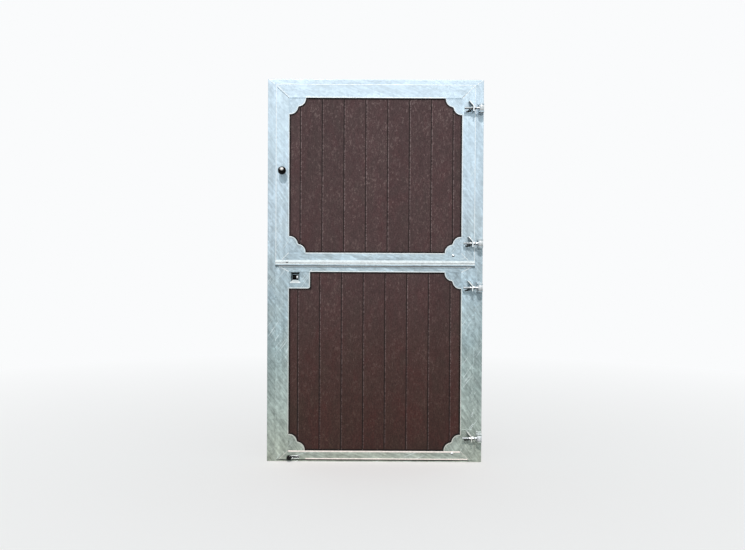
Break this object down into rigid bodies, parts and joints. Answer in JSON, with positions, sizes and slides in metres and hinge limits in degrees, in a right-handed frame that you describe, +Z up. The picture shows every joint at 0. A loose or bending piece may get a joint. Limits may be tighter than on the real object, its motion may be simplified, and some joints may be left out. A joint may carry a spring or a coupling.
{
  "type": "dutch stable door",
  "caption": "Outward-opening dutch stable door: galvanised steel frame and two separately hinged leaves filled with brown tongue-and-groove planks, with latch and slide bolts.",
  "frame": {"origin": "middle of the sill's underside, halfway through the depth of the outer frame", "axes": "+X to the right as seen from outside, towards the hinges; +Y inwards, through the wall; +Z up"},
  "size_m": [1.34, 0.1298, 2.38],
  "materials": {
    "galvanised_steel": "hot-dip galvanised, pale blue-grey with faint streaks",
    "zinc_hardware": "zinc-plated, satin",
    "brown_plank": "rough grained recycled plastic, dark brown",
    "dark_knob": "glossy black"
  },
  "bodies": {
    "frame": {"jamb_left": "galvanised_steel", "jamb_right": "galvanised_steel", "head": "galvanised_steel", "sill": "galvanised_steel", "latch_keeper": "galvanised_steel", "rod_keepers": "galvanised_steel", "hinge_fork_1": "zinc_hardware", "hinge_fork_2": "zinc_hardware", "hinge_fork_3": "zinc_hardware", "hinge_fork_4": "zinc_hardware", "hinge_pins": "zinc_hardware"},
    "upper_leaf": {"upper_bottom_rail": "galvanised_steel", "upper_button_bolts": "zinc_hardware", "upper_corner_plates": "galvanised_steel", "upper_hinge_bracket_1": "zinc_hardware", "upper_hinge_bracket_2": "zinc_hardware", "upper_hinge_eye_bolts": "zinc_hardware", "upper_hinge_nuts": "zinc_hardware", "upper_left_stile": "galvanised_steel", "upper_plank_1": "brown_plank", "upper_plank_2": "brown_plank", "upper_plank_3": "brown_plank", "upper_plank_4": "brown_plank", "upper_plank_5": "brown_plank", "upper_plank_6": "brown_plank", "upper_plank_7": "brown_plank", "upper_plank_8": "brown_plank", "upper_plank_9": "brown_plank", "upper_right_stile": "galvanised_steel", "upper_top_rail": "galvanised_steel", "drip_strip": "galvanised_steel"},
    "lower_leaf": {"lower_bottom_rail": "galvanised_steel", "lower_button_bolts": "zinc_hardware", "lower_corner_plates": "galvanised_steel", "lower_hinge_bracket_1": "zinc_hardware", "lower_hinge_bracket_2": "zinc_hardware", "lower_hinge_eye_bolts": "zinc_hardware", "lower_hinge_nuts": "zinc_hardware", "lower_left_stile": "galvanised_steel", "lower_plank_1": "brown_plank", "lower_plank_2": "brown_plank", "lower_plank_3": "brown_plank", "lower_plank_4": "brown_plank", "lower_plank_5": "brown_plank", "lower_plank_6": "brown_plank", "lower_plank_7": "brown_plank", "lower_plank_8": "brown_plank", "lower_plank_9": "brown_plank", "lower_right_stile": "galvanised_steel", "lower_top_rail": "galvanised_steel", "lock_plate": "galvanised_steel", "foot_bolt_guide": "galvanised_steel"},
    "upper_latch": {"latch_knob": "dark_knob", "latch_spindle": "zinc_hardware", "latch_tongue": "zinc_hardware"},
    "lock_bolt": {"lock_bolt": "zinc_hardware"},
    "foot_bolt": {"foot_bolt_rod": "zinc_hardware", "foot_bolt_knob": "dark_knob"}
  },
  "joints": [
    {"name": "upper_leaf_swing", "type": "hinge", "parent": "frame", "child": "upper_leaf", "pos_m": [0.65, -0.068, 1.79], "axis": [0, 0, 1], "range_deg": [0, 180]},
    {"name": "lower_leaf_swing", "type": "hinge", "parent": "frame", "child": "lower_leaf", "pos_m": [0.65, -0.068, 0.623], "axis": [0, 0, 1], "range_deg": [0, 180]},
    {"name": "upper_latch_turn", "type": "hinge", "parent": "upper_leaf", "child": "upper_latch", "pos_m": [-0.577, 0, 1.808], "axis": [0, 1, 0], "range_deg": [0, 90]},
    {"name": "lock_bolt_slide", "type": "slide", "parent": "lower_leaf", "child": "lock_bolt", "axis": [-1, 0, 0], "range_m": [0, 0.02]},
    {"name": "foot_bolt_slide", "type": "slide", "parent": "lower_leaf", "child": "foot_bolt", "axis": [1, 0, 0], "range_m": [0, 0.056]}
  ]
}
